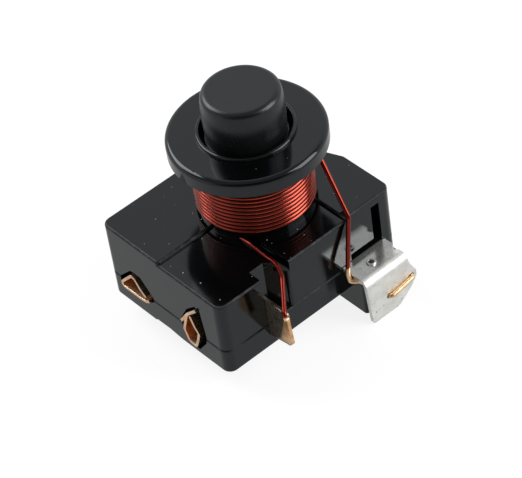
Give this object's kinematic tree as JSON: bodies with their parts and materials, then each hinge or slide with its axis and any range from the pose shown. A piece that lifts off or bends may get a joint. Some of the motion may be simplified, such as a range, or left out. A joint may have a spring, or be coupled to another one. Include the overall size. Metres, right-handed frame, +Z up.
{
  "type": "compressor start relay",
  "caption": "Plug-on current relay for a small compressor: black two-part housing with brass pin sockets, upright copper lift coil with flange and knob cap, tinned line terminal.",
  "frame": {"origin": "on the plug face, on the parting plane of the two housing halves, midway between the pin sockets", "axes": "+Z up along the coil axis, +Y from the plug face into the relay, +X to the terminal side"},
  "size_m": [0.0323, 0.0339, 0.0382],
  "materials": {
    "phenolic_black": "gloss",
    "nylon_black": "satin",
    "enamelled_copper": "gloss",
    "brass": "satin",
    "tinned_sheet": "satin",
    "contact_silver": "satin",
    "iron": "satin",
    "stem_steel": "satin",
    "spring_steel": "satin",
    "fibre": "matte"
  },
  "bodies": {
    "housing": {"upper_housing": "phenolic_black", "base_cover": "phenolic_black", "coil_bobbin": "nylon_black", "top_cap": "nylon_black", "coil_winding": "enamelled_copper", "lower_coil_lead": "enamelled_copper", "upper_coil_lead": "enamelled_copper", "start_terminal": "brass", "run_terminal": "brass", "line_terminal": "tinned_sheet", "start_contact": "contact_silver", "line_contact": "contact_silver", "stop_washer": "fibre"},
    "armature": {"armature": "iron", "armature_stem": "stem_steel", "spring_washer": "stem_steel", "stem_clip": "spring_steel", "contact_spring": "spring_steel"},
    "bridge": {"contact_bridge": "brass", "bridge_contacts": "contact_silver", "bridge_bush": "fibre"}
  },
  "joints": [
    {"name": "armature_lift", "type": "slide", "parent": "housing", "child": "armature", "axis": [0, 0, 1], "range_m": [0, 0.0026]},
    {"name": "bridge_give", "type": "slide", "parent": "armature", "child": "bridge", "axis": [0, 0, 1], "range_m": [-0.0006, 0], "deforming": ["contact_spring"]}
  ],
  "couplings": [
    {"joint": "bridge_give", "follows": "armature_lift", "ratio": -0.23077}
  ]
}
